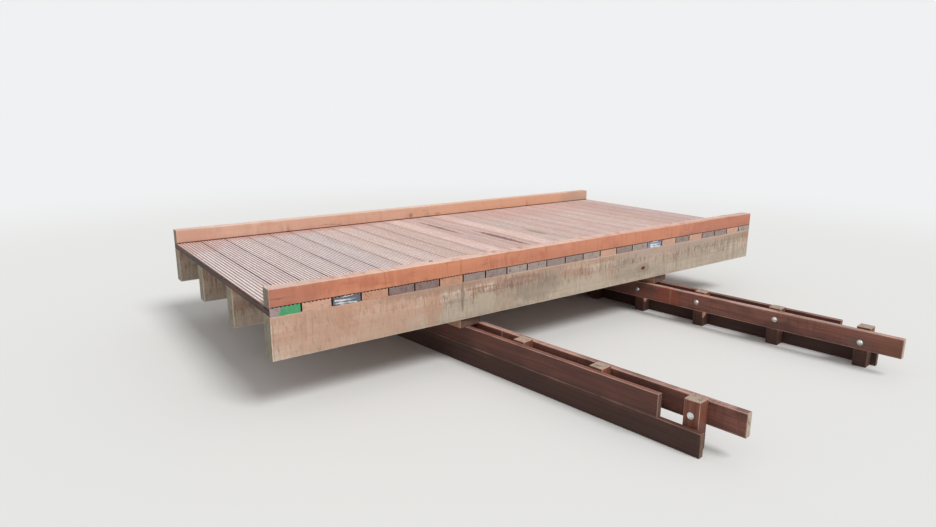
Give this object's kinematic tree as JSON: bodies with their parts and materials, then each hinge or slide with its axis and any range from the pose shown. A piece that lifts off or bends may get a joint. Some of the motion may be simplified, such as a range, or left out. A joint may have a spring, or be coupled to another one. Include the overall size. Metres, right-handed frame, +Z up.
{
  "type": "timber vehicle bridge",
  "caption": "Low timber bridge for vehicles: ribbed cross planks with side kerbs on deep girders, carried on sills over piled timber bank walls.",
  "frame": {"origin": "bottom centre of the whole object: under the middle of the deck, at the water line where the piles end", "axes": "+X along the bridge from the picture's left end to its right, +Y across the bridge away from the camera and roughly along the bank walls, +Z up"},
  "size_m": [5.24, 6.6234, 0.845],
  "materials": {
    "deck_plank": "planed ribbed hardwood, unfinished",
    "kerb": "sawn red-brown hardwood, unfinished",
    "girder": "sawn hardwood, unfinished",
    "sill": "sawn hardwood, unfinished",
    "wale": "sawn dark red hardwood, unfinished",
    "pile": "sawn dark red hardwood, unfinished",
    "bank_board": "sawn dark red hardwood, unfinished",
    "galvanised_steel": "hot-dip galvanised"
  },
  "bodies": {
    "root": {"bank_board_left_lower": "bank_board", "bank_board_left_upper": "bank_board", "bank_board_right_lower": "bank_board", "bank_board_right_upper": "bank_board", "bearing_sill_left": "sill", "bearing_sill_right": "sill", "deck_plank_01": "deck_plank", "deck_plank_02": "deck_plank", "deck_plank_03": "deck_plank", "deck_plank_04": "deck_plank", "deck_plank_05": "deck_plank", "deck_plank_06": "deck_plank", "deck_plank_07": "deck_plank", "deck_plank_08": "deck_plank", "deck_plank_09": "deck_plank", "deck_plank_10": "deck_plank", "deck_plank_11": "deck_plank", "deck_plank_12": "deck_plank", "deck_plank_13": "deck_plank", "deck_plank_14": "deck_plank", "deck_plank_15": "deck_plank", "deck_plank_16": "deck_plank", "deck_plank_17": "deck_plank", "deck_plank_18": "deck_plank", "deck_plank_19": "deck_plank", "deck_plank_20": "deck_plank", "deck_plank_21": "deck_plank", "deck_plank_22": "deck_plank", "deck_plank_23": "deck_plank", "deck_plank_24": "deck_plank", "deck_plank_25": "deck_plank", "girder_1": "girder", "girder_2": "girder", "girder_3": "girder", "girder_4": "girder", "kerb_far": "kerb", "kerb_near": "kerb", "piles_left": "pile", "piles_right": "pile", "wale_left_far": "wale", "wale_left_middle": "wale", "wale_left_near": "wale", "wale_right_far": "wale", "wale_right_middle": "wale", "wale_right_near": "wale"}
  },
  "joints": []
}
